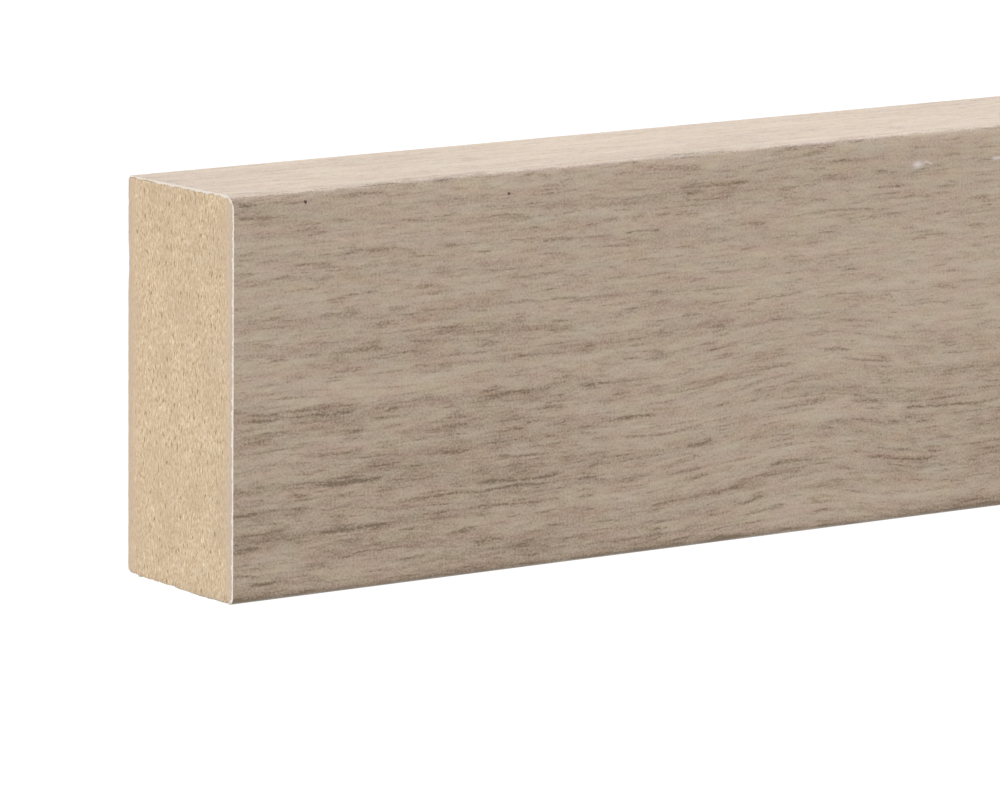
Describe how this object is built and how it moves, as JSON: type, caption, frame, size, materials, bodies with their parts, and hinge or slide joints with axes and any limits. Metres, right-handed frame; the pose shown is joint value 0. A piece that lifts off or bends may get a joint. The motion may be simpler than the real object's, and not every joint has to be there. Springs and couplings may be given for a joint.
{
  "type": "decorative batten",
  "caption": "Straight rectangular batten of fibre board with a wood decor wrapped over its front and narrow edges, rounded front corners and a flat bare back for fixing.",
  "frame": {"origin": "middle of the bare back face, on which the batten lies", "axes": "+X along the length, away from the sawn end in view; +Y across the width, towards the edge with the larger radius; +Z out of the decor face"},
  "size_m": [2.7, 0.04, 0.018],
  "materials": {
    "mdf": "matte",
    "wood_decor": "matte"
  },
  "bodies": {
    "root": {"mdf_core": "mdf", "decor_foil": "wood_decor"}
  },
  "joints": []
}
